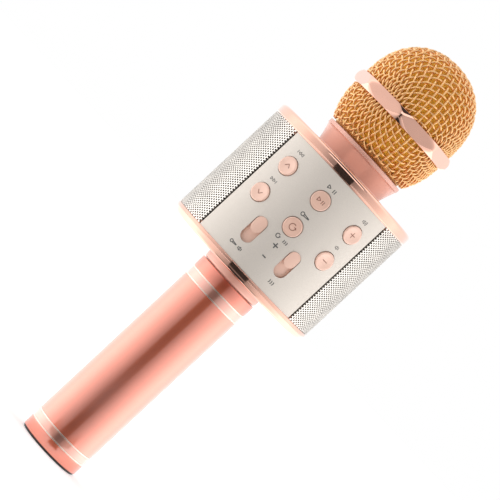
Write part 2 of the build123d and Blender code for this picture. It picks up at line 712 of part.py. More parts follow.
def make_foam_liner():
    """The foam liner: a dome clear of the mesh, with a thin skirt outside the threaded ring."""
    shells = []
    for inset in (FOAM_INSET, FOAM_INSET + FOAM_WALL):
        outline = [
            Line((0, FOAM_LOW), belly(inset, FOAM_LOW)),
            belly_arc(inset, FOAM_LOW, BELLY_HEIGHT),
            Line(belly(inset, BELLY_HEIGHT), (HEAD_RADIUS - inset, BELLY_HEIGHT + 1)),
            Line((HEAD_RADIUS - inset, BELLY_HEIGHT + 1), (0, BELLY_HEIGHT + 1)),
            Line((0, BELLY_HEIGHT + 1), (0, FOAM_LOW)),
        ]
        base = revolve(make_face([Plane.XZ * edge for edge in outline]), axis=Axis.Z)
        shells.append(base + make_dome(inset, BELLY_HEIGHT + 1))
    ring_radius = THREAD_RADIUS + THREAD_PLAY + THREAD_RING_WALL
    ring_space = disc(ring_radius + 0.25, FOAM_LOW - 1, HEAD_LOW + THREAD_LENGTH + 0.8)
    return shells[0] - shells[1] - ring_space


def make_thread_ring():
    """The ring in the basket's foot, with a thin threaded sleeve that screws on the neck."""
    high = HEAD_LOW + THREAD_LENGTH - 0.2
    inner = THREAD_RADIUS + THREAD_PLAY
    sleeve = inner + THREAD_RING_WALL
    outline = [
        Line((inner, HEAD_LOW), belly(MESH_WALL, HEAD_LOW)),
        belly_arc(MESH_WALL, HEAD_LOW, THREAD_RING_SHOULDER),
        Line(belly(MESH_WALL, THREAD_RING_SHOULDER), (sleeve, THREAD_RING_SHOULDER)),
        Line((sleeve, THREAD_RING_SHOULDER), (sleeve, high)),
        Line((sleeve, high), (inner, high)),
        Line((inner, high), (inner, HEAD_LOW)),
    ]
    return revolve(make_face([Plane.XZ * edge for edge in outline]), axis=Axis.Z)


def make_head():
    """The grille head, which unscrews from the neck, and its foam liner."""
    dome = make_dome(0, RING_HIGH) - make_dome(MESH_WALL, RING_HIGH)
    return {
        "grille_dome": dome,
        "grille_ring": make_grille_ring(),
        "grille_basket": make_basket_shell(),
        "grille_thread_ring": make_thread_ring(),
        "foam_liner": make_foam_liner(),
    }


# ------------------------------------------------------------------ write the parts
nodes = {}
for section in (
    make_handle, make_drum, make_buttons, make_sliders, make_speakers, make_rear_electronics,
    make_neck, make_head,
):
    nodes.update(section())

os.makedirs("parts", exist_ok=True)
for name, shape in nodes.items():
    export_step(shape, f"parts/{name}.step")
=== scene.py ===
"""The looks of the karaoke microphone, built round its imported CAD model.

Lengths are in millimetres and turn into metres where a mesh is made. The microphone stands on its
end cap with +Z up its handle, and its control panel faces -Y.
"""

import json
from math import acos, asin, atan2, cos, degrees, hypot, pi, radians, sin, sqrt, tan

import bmesh
import bpy
from mathutils import Matrix, Vector


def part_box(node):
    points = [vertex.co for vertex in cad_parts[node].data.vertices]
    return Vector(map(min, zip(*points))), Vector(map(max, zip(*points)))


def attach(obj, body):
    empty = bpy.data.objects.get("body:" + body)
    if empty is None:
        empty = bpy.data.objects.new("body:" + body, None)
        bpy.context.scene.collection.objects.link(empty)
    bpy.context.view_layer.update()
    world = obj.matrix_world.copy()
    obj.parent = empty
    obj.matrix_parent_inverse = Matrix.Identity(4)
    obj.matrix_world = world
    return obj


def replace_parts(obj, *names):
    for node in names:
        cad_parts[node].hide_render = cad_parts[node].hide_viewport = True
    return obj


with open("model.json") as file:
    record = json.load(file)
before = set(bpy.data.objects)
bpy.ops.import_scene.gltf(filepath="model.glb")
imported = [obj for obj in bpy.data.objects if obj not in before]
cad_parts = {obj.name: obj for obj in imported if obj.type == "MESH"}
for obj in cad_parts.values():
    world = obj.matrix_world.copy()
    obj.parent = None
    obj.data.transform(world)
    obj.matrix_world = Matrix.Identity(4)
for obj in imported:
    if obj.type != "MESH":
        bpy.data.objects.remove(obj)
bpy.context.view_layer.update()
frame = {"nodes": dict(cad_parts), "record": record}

MM = 0.001


def heights(node):
    """The lowest and highest height of a CAD node, in millimetres."""
    low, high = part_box(node)
    return low.z / MM, high.z / MM


def reach(node):
    """How far a CAD node reaches from the Z axis along X, in millimetres."""
    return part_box(node)[1].x / MM


# ------------------------------------------------------------------ sizes
TUBE_LOW, TUBE_HIGH = heights("handle_tube")
TUBE_RADIUS = reach("handle_tube")
TUBE_BORE = 13.5
GROOVES = (6.6, 10.8, 99.5, 103.8)
GROOVE_WIDTH = 0.7
GROOVE_DEPTH = 0.25

COLLAR_RADIUS = reach("handle_collar")
COLLAR_LOW = TUBE_HIGH + 0.3
DRUM_LOW = heights("bottom_end_cap")[0]
DRUM_HIGH = heights("top_end_cap")[1]
DRUM_RADIUS = reach("top_end_cap")
SEAM = 0.15
PANEL_LOW = heights("front_panel")[0] - SEAM
PANEL_HIGH = heights("front_panel")[1] + SEAM
PANEL_RADIUS = 40.6
PANEL_HALF_ANGLE = 43.9
PANEL_GAP = 0.9
CAP_WALL = 2.2
CAP_ROUNDING = 1.8
CAP_LIP = 2.0
CAP_LIP_RADIUS = 38.7
CAP_BORE = 37.6
NECK_BORE = 12.0
COLLAR_NECK_HIGH = heights("handle_collar")[1]

GRILLE_RADIUS = 40.8
GRILLE_WALL = 0.8
HOLE_PITCH = 1.4
HOLE_RADIUS = 0.47
# A hole is left out where its middle lies nearer to the sheet's edge than this.
HOLE_INSET = 0.1

NECK_LOW = heights("neck_collar")[0]
NECK_RIM = 193.2
NECK_WAIST_RADIUS = 19.4
NECK_RIM_RADIUS = 22.0
NECK_RIM_HEIGHT = 2.2
NECK_PASSAGE = 6.5
NECK_WELL_RADIUS = 16.8
NECK_FLOOR = 2.4
THREAD_HIGH = heights("neck_collar")[1]
THREAD_RADIUS = 18.6

RING_SIDES = 8
RING_LOW, RING_HIGH = heights("grille_ring")
RING_RADIUS = 29.4
RING_EDGE_RADIUS = 28.0
RING_BAND = 2.2
RING_BORE = 25.3
RING_TURN = -6.5
RING_CRISPNESS = 90

HEAD_RADIUS = reach("grille_dome")
HEAD_LOW = heights("grille_basket")[0]
HEAD_HIGH = heights("grille_dome")[1]
DOME_LOW = 221.0
DOME_POWER = 2.2
BELLY_RADIUS = 33.0
BELLY_HEIGHT = 211.0
WIRE_RADIUS = 0.45
WIRE_PITCH = 3.0
MESH_TURN = 16.0
FOAM_INSET = 2.3
FOAM_WALL = 4.0
FOAM_SKIRT_BORE = 19.7

BUTTON_COLUMNS = (-30.3, 0.0, 30.3)
BUTTON_ROWS = (164.3, 147.8)
BUTTON_FACE = 41.2
DISH_DEPTH = 0.25
DISH_RADIUS = 24.0
SLIDER_X = 10.5

# The light of the room by the angle from the camera's side.
SURROUND = (
    (0, 0.25), (15, 0.28), (24, 0.42), (40, 0.74), (60, 1.0), (80, 1.4), (100, 1.55), (120, 1.3),
    (140, 1.15), (180, 1.05),
)
SURROUND_STRENGTH = 2.0
FLOOR_GLOW_STRENGTH = 2.7
# The dark parts of the room behind the camera: half an angle, then distance and height, in metres,
# of the near and the far edge.
GAPS = (
    (15, 0.03, 0.001, 0.30, 0.001), (42, 0.08, 0.002, 0.13, 0.002), (15, 0.62, 0.001, 1.6, 0.001),
    (15, 1.6, 0.0, 1.6, 0.53), (42, 1.6, 1.28, 1.6, 4.0),
)
WINDOW = (32, 1.55, 0.53, 1.55, 1.28)
WINDOW_STRENGTH = 1.5
GAP_SHADE = 0.02
CAMERA_AZIMUTH = -2.3
CAMERA_DISTANCE = 1394.0
CAMERA_HEIGHT = 159.0
AIM_RIGHT = -3.7
AIM_HEIGHT = 126.6
LEAN = 47.1
FIELD_OF_VIEW = 9.12


# ------------------------------------------------------------------ materials
# The values between which a noise is spread over a range.
NOISE_LOW = 0.3
NOISE_HIGH = 0.7


class Shader:
    """A node material that starts as one Principled surface and takes its detail from noises."""

    def __init__(self, name, color, metallic=0.0, roughness=0.5, **inputs):
        self.material = bpy.data.materials.new(name)
        self.material.use_nodes = True
        self.tree = self.material.node_tree
        self.surface = self.tree.nodes["Principled BSDF"]
        self.set("Base Color", (*color, 1.0))
        self.set("Metallic", metallic)
        self.set("Roughness", roughness)
        for label, value in inputs.items():
            self.set(label.replace("_", " "), value)
        coordinates = self.tree.nodes.new("ShaderNodeTexCoord")
        self.place = coordinates.outputs["Object"]

    def set(self, label, value):
        """Sets one of the surface's own sockets."""
        self.surface.inputs[label].default_value = value

    def link(self, output, node, label):
        """Joins an output to a node's input."""
        self.tree.links.new(output, node.inputs[label])

    def noise(self, scale, detail=3.0, stretch=(1.0, 1.0, 1.0), distortion=0.0):
        """A noise of so many bumps per metre, stretched along the axes."""
        mapping = self.tree.nodes.new("ShaderNodeMapping")
        mapping.inputs["Scale"].default_value = stretch
        self.link(self.place, mapping, "Vector")
        noise = self.tree.nodes.new("ShaderNodeTexNoise")
        noise.inputs["Scale"].default_value = scale
        noise.inputs["Detail"].default_value = detail
        noise.inputs["Distortion"].default_value = distortion
        self.link(mapping.outputs["Vector"], noise, "Vector")
        return noise.outputs["Fac"]

    def cells(self, scale, feature="F1"):
        """A pattern of cells, so many per metre."""
        voronoi = self.tree.nodes.new("ShaderNodeTexVoronoi")
        voronoi.feature = feature
        voronoi.inputs["Scale"].default_value = scale
        self.link(self.place, voronoi, "Vector")
        return voronoi.outputs["Distance"]

    def ramp(self, value, *stops):
        """Turns a value into a colour through (position, colour) stops."""
        ramp = self.tree.nodes.new("ShaderNodeValToRGB")
        elements = ramp.color_ramp.elements
        while len(elements) < len(stops):
            elements.new(0.5)
        for element, (position, color) in zip(elements, stops):
            element.position = position
            element.color = (*color, 1.0)
        self.link(value, ramp, "Fac")
        return ramp.outputs["Color"]

    def spread(self, value, low, high):
        """Spreads a value from the middle of a noise over a range."""
        spread = self.tree.nodes.new("ShaderNodeMapRange")
        spread.inputs["From Min"].default_value = NOISE_LOW
        spread.inputs["From Max"].default_value = NOISE_HIGH
        spread.inputs["To Min"].default_value = low
        spread.inputs["To Max"].default_value = high
        self.link(value, spread, "Value")
        return spread.outputs["Result"]

    def tint(self, value, dark, light):
        """Varies the base colour between two tones."""
        tones = self.ramp(value, (NOISE_LOW, dark), (NOISE_HIGH, light))
        self.link(tones, self.surface, "Base Color")

    def rough(self, value, low, high):
        """Varies the roughness over a range."""
        self.link(self.spread(value, low, high), self.surface, "Roughness")

    def bump(self, value, depth, strength=0.5):
        """Raises the surface by a depth in millimetres, on top of any bump it has."""
        bump = self.tree.nodes.new("ShaderNodeBump")
        bump.inputs["Strength"].default_value = strength
        bump.inputs["Distance"].default_value = depth * MM
        self.link(value, bump, "Height")
        earlier = self.surface.inputs["Normal"].links
        if earlier:
            self.link(earlier[0].from_socket, bump, "Normal")
        self.link(bump.outputs["Normal"], self.surface, "Normal")


def shade(color, amount):
    """A colour made darker or lighter by a factor."""
    return tuple(min(1.0, part * amount) for part in color)


ROSE = (0.87, 0.44, 0.31)
ROSE_DEEP = (0.86, 0.20, 0.10)
SILVER = (0.71, 0.645, 0.58)


def anodised():
    """Satin rose-gold anodising over fine lathe marks."""
    shader = Shader(
        "anodised_rose", ROSE_DEEP, metallic=1.0, roughness=0.3,
        Coat_Weight=1.0, Coat_IOR=2.5, Coat_Roughness=0.14,
    )
    marks = shader.noise(60, 4.0, (1, 1, 180))
    grain = shader.noise(2600, 2.0)
    shader.tint(shader.noise(35, 3.0), shade(ROSE_DEEP, 0.96), shade(ROSE_DEEP, 1.04))
    shader.rough(marks, 0.36, 0.44)
    shader.bump(marks, 0.004, 0.25)
    shader.bump(grain, 0.003, 0.2)
    return shader.material


def bright_cut():
    """The grooves, cut bright after the anodising."""
    shader = Shader("bright_cut", (0.92, 0.76, 0.68), metallic=1.0, roughness=0.25)
    marks = shader.noise(80, 3.0, (1, 1, 120))
    shader.rough(marks, 0.22, 0.34)
    shader.bump(marks, 0.003, 0.3)
    return shader.material


def plated(name, color, low, high, metallic=1.0, coat=1.0):
    """Rose-gold plating with faint polishing marks, its gloss set by a range of roughness."""
    shader = Shader(name, color, metallic=metallic, roughness=low, Coat_Weight=coat, Coat_IOR=2.1)
    smears = shader.noise(90, 5.0, distortion=0.6)
    shader.tint(smears, shade(color, 0.97), shade(color, 1.03))
    shader.rough(smears, low, high)
    shader.bump(shader.noise(240, 3.0), 0.002, 0.2)
    return shader.material


def silver_paint():
    """Champagne-silver metallic paint with a fine flake."""
    shader = Shader("silver_paint", SILVER, metallic=0.4, roughness=0.42)
    flake = shader.noise(5200, 2.0)
    cloud = shader.noise(40, 3.0)
    shader.tint(flake, shade(SILVER, 0.93), shade(SILVER, 1.07))
    shader.rough(cloud, 0.40, 0.46)
    shader.bump(flake, 0.003, 0.25)
    return shader.material


def grille_steel():
    """Perforated steel, lightly satin."""
    color = (0.82, 0.775, 0.72)
    shader = Shader("grille_steel", color, metallic=1.0, roughness=0.3)
    cloud = shader.noise(180, 4.0)
    shader.tint(cloud, shade(color, 0.93), shade(color, 1.05))
    shader.rough(cloud, 0.24, 0.38)
    shader.bump(shader.noise(3000, 2.0), 0.004, 0.3)
    return shader.material


def wire_metal():
    """Rose-gold wire, drawn and crimped."""
    color = (0.97, 0.56, 0.24)
    shader = Shader("wire_rose", color, metallic=0.7, roughness=0.3, Coat_Weight=0.4)
    cloud = shader.noise(700, 3.0)
    shader.tint(cloud, shade(color, 0.9), shade(color, 1.06))
    shader.rough(cloud, 0.24, 0.40)
    shader.bump(shader.noise(2500, 2.0), 0.01, 0.35)
    return shader.material


def foam():
    """Golden open-cell foam."""
    shader = Shader("foam_gold", (0.85, 0.42, 0.05), roughness=0.95, Sheen_Weight=0.2)
    pores = shader.cells(1500)
    cloud = shader.noise(420, 5.0)
    shader.tint(cloud, (0.84, 0.38, 0.02), (1.0, 0.58, 0.05))
    shader.bump(pores, 0.35, 0.8)
    shader.bump(cloud, 0.25, 0.6)
    return shader.material


def moulded(name, color, roughness=0.5, grain=1400, depth=0.02, metallic=0.0):
    """A plastic, rubber or paper with a moulded grain."""
    shader = Shader(name, color, metallic=metallic, roughness=roughness)
    texture = shader.noise(grain, 3.0)
    shader.tint(texture, shade(color, 0.85), shade(color, 1.15))
    shader.rough(texture, max(0.05, roughness - 0.08), min(1.0, roughness + 0.08))
    shader.bump(texture, depth, 0.4)
    return shader.material


def circuit_board():
    """Green solder mask with the faint relief of its tracks."""
    shader = Shader("board_green", (0.02, 0.12, 0.05), roughness=0.35)
    tracks = shader.cells(260, "F2")
    shader.tint(tracks, (0.015, 0.09, 0.04), (0.04, 0.2, 0.08))
    shader.bump(tracks, 0.03, 0.3)
    return shader.material


def ink(name, color):
    """Printed or engraved ink, slightly uneven."""
    shader = Shader(name, color, roughness=0.6)
    patches = shader.noise(1800, 3.0)
    shader.tint(patches, shade(color, 0.8), shade(color, 1.25))
    shader.bump(patches, 0.005, 0.2)
    return shader.material


PLATED = plated("plated_rose", ROSE, 0.06, 0.12)
SATIN = plated("satin_rose", (0.80, 0.43, 0.34), 0.38, 0.46, 0.45, 0.3)
BAND = plated("polished_band", (0.86, 0.40, 0.31), 0.28, 0.36)
BUTTON = plated("button_rose", (0.88, 0.56, 0.44), 0.30, 0.40, 0.25, 0.5)
ANODISED = anodised()
BRIGHT = bright_cut()
PAINT = silver_paint()
STEEL = grille_steel()
WIRE = wire_metal()
FOAM = foam()
PRINT = ink("panel_print", (0.10, 0.095, 0.09))
ENGRAVING = ink("engraving", (0.30, 0.12, 0.08))
SLOT_MATERIALS = {
    "anodised_rose": ANODISED,
    "plated_rose": PLATED,
    "satin_rose": SATIN,
    "button_rose": BUTTON,
    "panel_silver": PAINT,
    "grille_steel": STEEL,
    "mesh_rose": WIRE,
    "foam_gold": FOAM,
    "black_plastic": moulded("black_plastic", (0.02, 0.02, 0.02), 0.42),
    "inner_plastic": moulded("inner_plastic", (0.05, 0.05, 0.05), 0.55),
    "switch_plastic": moulded("switch_plastic", (0.06, 0.06, 0.07), 0.5),
    "board_green": circuit_board(),
    "socket_steel": moulded("socket_steel", (0.70, 0.70, 0.70), 0.28, 700, 0.01, 1.0),
    "fastener_steel": moulded("fastener_steel", (0.60, 0.60, 0.60), 0.35, 900, 0.01, 1.0),
    "spring_steel": moulded("spring_steel", (0.66, 0.66, 0.66), 0.25, 900, 0.01, 1.0),
    "brass": moulded("brass", (0.76, 0.55, 0.22), 0.3, 600, 0.01, 1.0),
    "cell_wrap": moulded("cell_wrap", (0.06, 0.20, 0.50), 0.3, 500, 0.01),
    "magnet_iron": moulded("magnet_iron", (0.10, 0.10, 0.11), 0.6, 900, 0.03),
    "cone_paper": moulded("cone_paper", (0.05, 0.05, 0.05), 0.85, 1200, 0.08),
    "rubber": moulded("rubber", (0.03, 0.03, 0.03), 0.7, 800, 0.02),
    "capsule_metal": moulded("capsule_metal", (0.65, 0.65, 0.67), 0.3, 900, 0.01, 1.0),
    "lamp_lens": moulded("lamp_lens", (0.70, 0.80, 0.90), 0.25, 900, 0.01),
}


# ------------------------------------------------------------------ mesh helpers
def finish_mesh(bm, name, materials, crease=35.0):
    """Makes an object of a bmesh in millimetres, smooth but for its sharp edges."""
    bmesh.ops.recalc_face_normals(bm, faces=bm.faces)
    bmesh.ops.scale(bm, vec=(MM, MM, MM), verts=bm.verts)
    for face in bm.faces:
        face.smooth = True
    for edge in bm.edges:
        if len(edge.link_faces) == 2:
            edge.smooth = edge.calc_face_angle(0) < radians(crease)
    mesh = bpy.data.meshes.new(name)
    bm.to_mesh(mesh)
    bm.free()
    for material in materials:
        mesh.materials.append(material)
    piece = bpy.data.objects.new(name, mesh)
    bpy.context.scene.collection.objects.link(piece)
    return piece


def rounded(corners, steps=5):
    """An outline whose (radius, height, rounding) corners are turned into arcs."""
    outline = []
    for index, (x, y, rounding) in enumerate(corners):
        if not rounding:
            outline.append((x, y))
            continue
        here = Vector((x, y))
        after = corners[(index + 1) % len(corners)]
        before = (Vector(corners[index - 1][:2]) - here).normalized()
        ahead = (Vector(after[:2]) - here).normalized()
        half = before.angle(ahead) / 2
        centre = here + (before + ahead).normalized() * rounding / sin(half)
        first = here + before * rounding / tan(half) - centre
        last = here + ahead * rounding / tan(half) - centre
        turn = atan2(first.x * last.y - first.y * last.x, first.dot(last))
        for step in range(steps + 1):
            arm = Matrix.Rotation(turn * step / steps, 2) @ first
            outline.append(tuple(centre + arm))
    return outline


def arc(start, through, end, steps=12):
    """Points along the arc that starts, passes and ends at three points."""
    ax, ay = start
    bx, by = through
    cx, cy = end
    span = 2 * (ax * (by - cy) + bx * (cy - ay) + cx * (ay - by))
    a2, b2, c2 = ax * ax + ay * ay, bx * bx + by * by, cx * cx + cy * cy
    centre = Vector((
        (a2 * (by - cy) + b2 * (cy - ay) + c2 * (ay - by)) / span,
        (a2 * (cx - bx) + b2 * (ax - cx) + c2 * (bx - ax)) / span,
    ))
    first = Vector(start) - centre
    last = Vector(end) - centre
    turn = atan2(first.x * last.y - first.y * last.x, first.dot(last))
    return [
        tuple(centre + Matrix.Rotation(turn * step / steps, 2) @ first) for step in range(steps + 1)
    ]


def lathe(name, outline, materials, segments=192, closed=True, marked=None):
    """Turns an outline about the Z axis. The marked function gives a face's material slot."""
    bm = bmesh.new()
    rings = []
    for radius, height in outline:
        if radius < 1e-6:
            rings.append([bm.verts.new((0, 0, height))])
            continue
        turns = [2 * pi * step / segments for step in range(segments)]
        rings.append([
            bm.verts.new((radius * cos(turn), radius * sin(turn), height)) for turn in turns
        ])
    pairs = list(zip(rings, rings[1:]))
    if closed:
        pairs.append((rings[-1], rings[0]))
    for lower, upper in pairs:
        for step in range(segments):
            ahead = (step + 1) % segments
            corners = [lower[step % len(lower)], lower[ahead % len(lower)]]
            corners += [upper[ahead % len(upper)], upper[step % len(upper)]]
            corners = list(dict.fromkeys(corners))
            if len(corners) < 3:
                continue
            face = bm.faces.new(corners)
            if marked:
                face.material_index = marked(face.calc_center_median())
    return finish_mesh(bm, name, materials)


def polar(radius, angle, height):
    """The point at a radius, an angle in degrees from the front, and a height."""
    return (radius * sin(radians(angle)), -radius * cos(radians(angle)), height)


def facing(angle, height=0.0):
    """The matrix of a place on the drum's axis: X round the drum, Y up and Z outwards."""
    s, c = sin(radians(angle)), cos(radians(angle))
    return Matrix(((c, 0, s, 0), (s, 0, -c, 0), (0, 1, 0, height), (0, 0, 0, 1)))


# ------------------------------------------------------------------ handle
def make_handle():
    """The handle tube with its bright-cut grooves, and the plated collar above it."""
    outer = [(TUBE_RADIUS, TUBE_LOW, 0.3)]
    half = GROOVE_WIDTH / 2
    flat = half * 0.55
    floor = TUBE_RADIUS - GROOVE_DEPTH
    for height in GROOVES:
        outer += [
            (TUBE_RADIUS, height - half, 0), (floor, height - flat, 0),
            (floor, height + flat, 0), (TUBE_RADIUS, height + half, 0),
        ]
    outer += [(TUBE_RADIUS, TUBE_HIGH, 0.3), (TUBE_BORE, TUBE_HIGH, 0), (TUBE_BORE, TUBE_LOW, 0)]

    def finish(middle):
        """The material slot at a place: 1 in a groove, 2 between the grooves of a pair, else 0."""
        if hypot(middle.x, middle.y) < TUBE_BORE + 1:
            return 0
        if any(abs(middle.z - height) < half for height in GROOVES):
            return 1
        between = any(low < middle.z < high for low, high in (GROOVES[:2], GROOVES[2:]))
        return 2 if between else 0

    tube = lathe("handle_shell", rounded(outer, 3), [ANODISED, BRIGHT, BAND], marked=finish)
    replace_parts(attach(tube, "microphone"), "handle_tube")
    bore = 9.0
    spigot = TUBE_BORE - 0.05
    low = heights("handle_collar")[0]
    collar = lathe("handle_collar_band", rounded([
        (bore, low, 0), (spigot, low, 0), (spigot, COLLAR_LOW, 0), (COLLAR_RADIUS, COLLAR_LOW, 1.1),
        (COLLAR_RADIUS, DRUM_LOW, 0.4), (NECK_BORE, DRUM_LOW, 0), (NECK_BORE, COLLAR_NECK_HIGH, 0),
        (bore, COLLAR_NECK_HIGH, 0),
    ]), [SATIN])
    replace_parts(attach(collar, "microphone"), "handle_collar")


# ------------------------------------------------------------------ drum
def make_drum_cap(name, node, outer_face, inner_face):
    """A plated end cap of the drum, rounded outside and stepped behind the panels."""
    up = 1 if inner_face > outer_face else -1
    floor = outer_face + up * CAP_WALL
    lip = inner_face + up * CAP_LIP
    outline = rounded([
        (NECK_BORE, outer_face, 0), (DRUM_RADIUS, outer_face, CAP_ROUNDING),
        (DRUM_RADIUS, inner_face, 0.4), (CAP_LIP_RADIUS, inner_face, 0), (CAP_LIP_RADIUS, lip, 0),
        (CAP_BORE, lip, 0), (CAP_BORE, floor, 0), (NECK_BORE, floor, 0),
    ], 8)
    cap = lathe(name, outline, [PLATED], segments=288)
    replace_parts(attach(cap, "microphone"), node)


def make_perforated_grille(name, node, side):
    """A curved steel sheet with staggered round holes, in hexagonal cells round each hole."""
    half = GRILLE_RADIUS * radians(90 - PANEL_HALF_ANGLE) - PANEL_GAP
    low, high = PANEL_LOW + SEAM, PANEL_HIGH - SEAM
    column_step = HOLE_PITCH * sqrt(3) / 2
    columns = int(half / column_step) + 1
    rows = int((high - low) / HOLE_PITCH / 2) + 2
    middle = (low + high) / 2
    cell = HOLE_PITCH / sqrt(3)
    least_area = 1e-3
    bm = bmesh.new()
    made = {}

    def vertex(x, y):
        """The one vertex at a place on the flat sheet, rolled to its radius."""
        key = (round(x, 3), round(y, 3))
        if key not in made:
            made[key] = bm.verts.new(polar(GRILLE_RADIUS, side + degrees(x / GRILLE_RADIUS), y))
        return made[key]

    def fill(corners):
        """Adds a face, cut off at the sheet's edges, unless nothing is left of it."""
        kept = [(max(-half, min(half, x)), max(low, min(high, y))) for x, y in corners]
        turned = kept[1:] + kept[:1]
        area = sum(a[0] * b[1] - b[0] * a[1] for a, b in zip(kept, turned)) / 2
        used = list(dict.fromkeys(vertex(*point) for point in kept))
        if abs(area) > least_area and len(used) > 2:
            bm.faces.new(used)

    for column in range(-columns, columns + 1):
        for row in range(-rows, rows + 1):
            x = column * column_step
            y = middle + (row + 0.5 * (column % 2)) * HOLE_PITCH
            # Twelve points round the cell's edge, to face the twelve round its hole.
            outer = []
            for corner in range(6):
                a = [cell * cos(pi / 3 * corner), cell * sin(pi / 3 * corner)]
                b = [cell * cos(pi / 3 * (corner + 1)), cell * sin(pi / 3 * (corner + 1))]
                outer.append((x + a[0], y + a[1]))
                outer.append((x + (a[0] + b[0]) / 2, y + (a[1] + b[1]) / 2))
            beyond = max(abs(x) - half, low - y, y - high)
            if beyond > cell:
                continue
            if beyond > -HOLE_INSET:
                fill(outer)
                continue
            inner = [
                (x + HOLE_RADIUS * cos(pi / 6 * k), y + HOLE_RADIUS * sin(pi / 6 * k))
                for k in range(12)
            ]
            for k in range(12):
                ahead = (k + 1) % 12
                fill([outer[k], outer[ahead], inner[ahead], inner[k]])
    bmesh.ops.dissolve_degenerate(bm, dist=0.001, edges=bm.edges)
    bmesh.ops.recalc_face_normals(bm, faces=bm.faces)
    outwards = Vector(polar(1, side, 0))
    if sum(face.normal.dot(outwards) for face in bm.faces) < 0:
        bmesh.ops.reverse_faces(bm, faces=bm.faces)
    bmesh.ops.solidify(bm, geom=list(bm.faces), thickness=GRILLE_WALL)
    grille = finish_mesh(bm, name, [STEEL])
    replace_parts(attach(grille, "microphone"), node)


# ------------------------------------------------------------------ printed and engraved marks
def ribbon(points, width):
    """A flat stroke along 2-D points, as quads with mitred joints."""
    quads = []
    sides = []
    for index, point in enumerate(points):
        before = Vector(points[max(index - 1, 0)])
        after = Vector(points[min(index + 1, len(points) - 1)])
        if points[0] == points[-1] and index in (0, len(points) - 1):
            before, after = Vector(points[-2]), Vector(points[1])
        along = (after - before).normalized()
        across = Vector((-along.y, along.x)) * width / 2
        sides.append((Vector(point) + across, Vector(point) - across))
    for first, second in zip(sides, sides[1:]):
        quads.append([first[0], first[1], second[1], second[0]])
    return quads


def divided(points, step=0.25):
    """The same stroke with points no further apart than a step, so that it can follow a curve."""
    result = [points[0]]
    for start, end in zip(points, points[1:]):
        length = hypot(end[0] - start[0], end[1] - start[1])
        parts = max(1, int(length / step))
        for part in range(1, parts + 1):
            share = part / parts
            result.append((
                start[0] + (end[0] - start[0]) * share, start[1] + (end[1] - start[1]) * share
            ))
    return result


def circle_points(x, y, radius, start=0.0, end=360.0, steps=20):
    """Points round part of a circle."""
    turns = [radians(start + (end - start) * step / steps) for step in range(steps + 1)]
    return [(x + radius * cos(turn), y + radius * sin(turn)) for turn in turns]


def moved(strokes, x, y, size=1.0):
    """Strokes scaled and moved to a place."""
    return [[(x + size * px, y + size * py) for px, py in stroke] for stroke in strokes]


def chevron(up):
    """A chevron that points up or down."""
    return [[(-1.0, -0.6 * up), (0.0, 0.6 * up), (1.0, -0.6 * up)]]


def triangle(right):
    """A triangle that points right or left."""
    return [[(-0.5 * right, -0.6), (0.6 * right, 0.0), (-0.5 * right, 0.6), (-0.5 * right, -0.6)]]


def bar(x):
    """An upright bar."""
    return [[(x, -0.65), (x, 0.65)]]


def loudspeaker(waves):
    """A loudspeaker with so many sound waves."""
    strokes = [[(-1.4, -0.3), (-1.0, -0.3), (-0.4, -0.75), (-0.4, 0.75), (-1.0, 0.3), (-1.4, 0.3)]]
    strokes[0].append(strokes[0][0])
    for wave in range(waves):
        strokes.append(circle_points(-0.5, 0, 0.8 + 0.55 * wave, -42, 42, 8))
    return strokes


def microphone_sign():
    """A small microphone on its side."""
    return [circle_points(-0.9, 0, 0.55), [(-0.4, 0.3), (1.5, 0.1), (1.5, -0.1), (-0.4, -0.3)]]


def loop_arrow():
    """An open circle with an arrow head."""
    return [circle_points(0, 0, 0.95, 60, 380, 18), [(0.45, 0.2), (0.9, 0.35), (1.25, -0.05)]]


def echo_waves():
    """Three waves, one behind the other."""
    return [circle_points(-1.6 + 0.9 * wave, 0, 1.0, -45, 45, 8) for wave in range(3)]


def wrapped(name, strokes, width, material, to_surface, body):
    """A piece made of flat strokes laid on a surface."""
    bm = bmesh.new()
    for stroke in strokes:
        for quad in ribbon(divided(stroke), width):
            bm.faces.new([bm.verts.new(to_surface(*corner)) for corner in quad])
    bmesh.ops.remove_doubles(bm, verts=bm.verts, dist=0.002)
    bmesh.ops.recalc_face_normals(bm, faces=bm.faces)
    piece = finish_mesh(bm, name, [material])
    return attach(piece, body)


